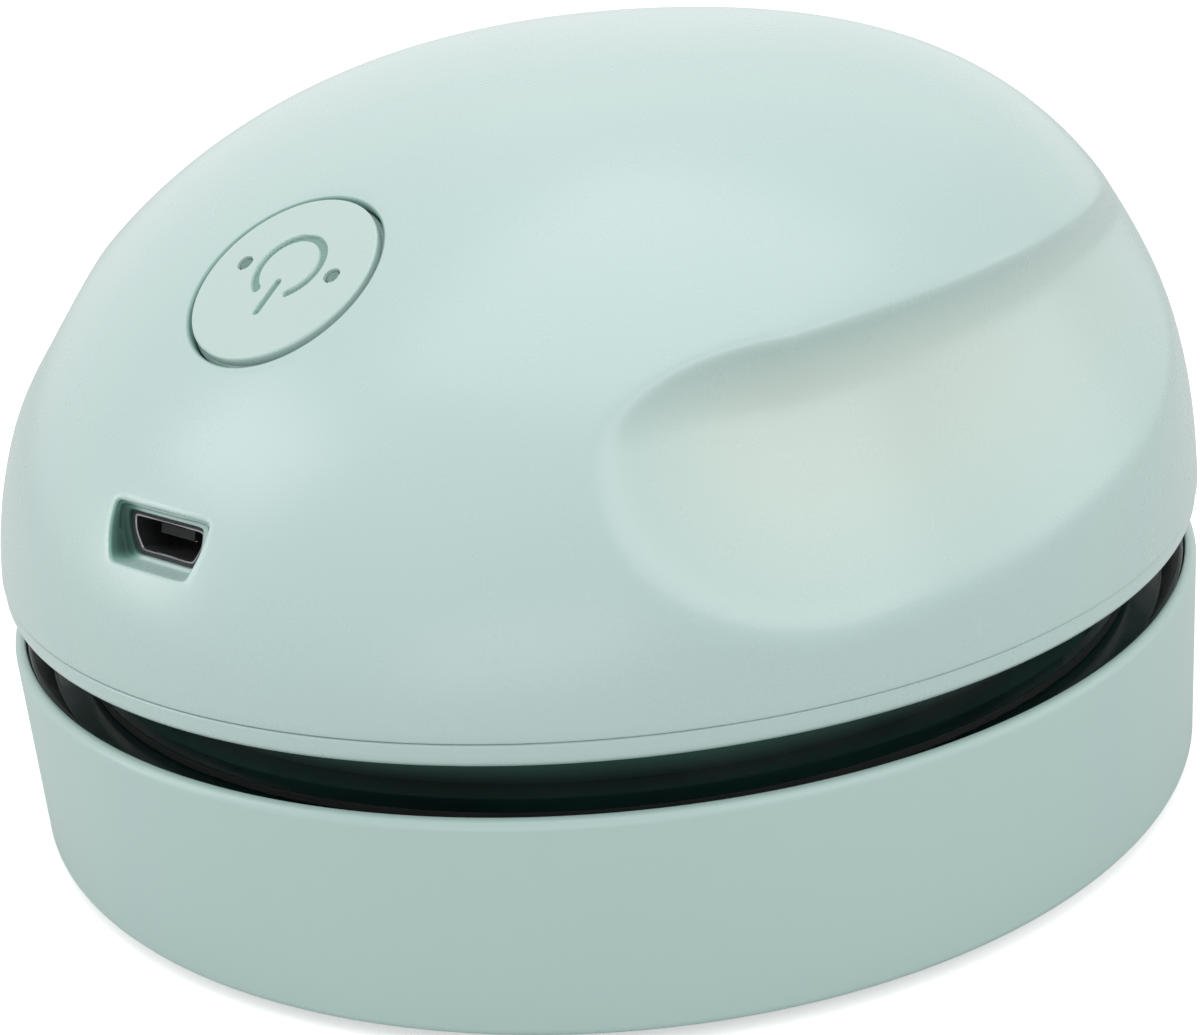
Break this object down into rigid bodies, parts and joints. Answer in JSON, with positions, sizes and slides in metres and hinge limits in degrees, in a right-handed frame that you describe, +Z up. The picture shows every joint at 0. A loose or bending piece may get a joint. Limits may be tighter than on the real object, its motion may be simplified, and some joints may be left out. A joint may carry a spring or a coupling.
{
  "type": "desktop mini vacuum cleaner",
  "caption": "Palm-sized domed desk vacuum: a mouse-shaped head with finger grips and a power button, on a round dust cup with an inlet slot and brushes.",
  "frame": {"origin": "on the table surface, under the centre of the round dust cup", "axes": "+Z up out of the dome, -Y towards the nose with the button and the charging socket, +X to the right of the nose seen from behind it"},
  "size_m": [0.094, 0.094, 0.0566],
  "materials": {
    "mint_shell": "smooth satin moulding",
    "mint_cup": "smooth satin moulding",
    "black_gloss": "polished moulding",
    "dark_plastic": "fine matte moulding",
    "rubber": "soft matte",
    "bristle": "nylon bristles",
    "steel": "zinc plated",
    "bright_metal": "nickel plated",
    "core_steel": "stacked laminations",
    "copper": "bright enamelled wire and contacts",
    "brass": "turned",
    "circuit_board": "solder mask",
    "components": "moulded packages",
    "lamp": "milky",
    "light_pipe": "frosted",
    "plunger": "smooth",
    "red_wire": "soft insulation",
    "black_wire": "soft insulation",
    "white_wire": "soft insulation",
    "battery_wrap": "shrink sleeve",
    "filter_paper": "pleated sheet",
    "filter_gauze": "fine woven gauze"
  },
  "bodies": {
    "base": {"dust_cup": "mint_cup", "brush_strips": "bristle", "glide_feet": "rubber", "lid_ring": "black_gloss", "seal_gasket": "rubber"},
    "head": {"upper_shell": "mint_shell", "lower_housing": "mint_shell", "exhaust_collar": "black_gloss", "housing_screws": "steel", "collar_screws": "steel", "motor_can": "steel", "motor_end_bell": "dark_plastic", "motor_bearings": "brass", "motor_magnets": "core_steel", "motor_brushes": "copper", "motor_terminals": "brass", "motor_damper": "rubber", "motor_screws": "steel", "battery_cell": "battery_wrap", "battery_tabs": "bright_metal", "usb_socket": "bright_metal", "usb_tongue": "dark_plastic", "usb_contacts": "brass", "main_board": "circuit_board", "board_components": "components", "main_board_screws": "steel", "switch_board": "circuit_board", "tact_switch": "dark_plastic", "status_leds": "lamp", "switch_board_screws": "steel", "positive_leads": "red_wire", "negative_leads": "black_wire", "switch_leads": "white_wire"},
    "rotor": {"motor_shaft": "steel", "armature_core": "core_steel", "windings": "copper", "commutator": "copper", "impeller": "dark_plastic", "impeller_bush": "brass"},
    "button": {"power_button": "mint_shell", "light_pipes": "light_pipe", "switch_plunger": "plunger"},
    "filter": {"filter_frame": "dark_plastic", "filter_seal": "rubber", "filter_media": "filter_paper", "filter_mesh": "filter_gauze"}
  },
  "joints": [
    {"name": "head_lift", "type": "slide", "parent": "base", "child": "head", "axis": [0, 0, 1], "range_m": [0, 0.03]},
    {"name": "filter_draw", "type": "slide", "parent": "head", "child": "filter", "axis": [0, 0, -1], "range_m": [0, 0.012]},
    {"name": "button_press", "type": "slide", "parent": "head", "child": "button", "axis": [0, 0.5468, -0.8373], "range_m": [0, 0.0005], "stiffness_N_per_m": 1500, "springref_m": -0.0003},
    {"name": "rotor_spin", "type": "hinge", "parent": "head", "child": "rotor", "pos_m": [0, 0, 0.035], "axis": [0, 0, 1], "continuous": true}
  ],
  "couplings": [
    {"joint": "filter_draw", "follows": "head_lift", "ratio": 0.4}
  ]
}
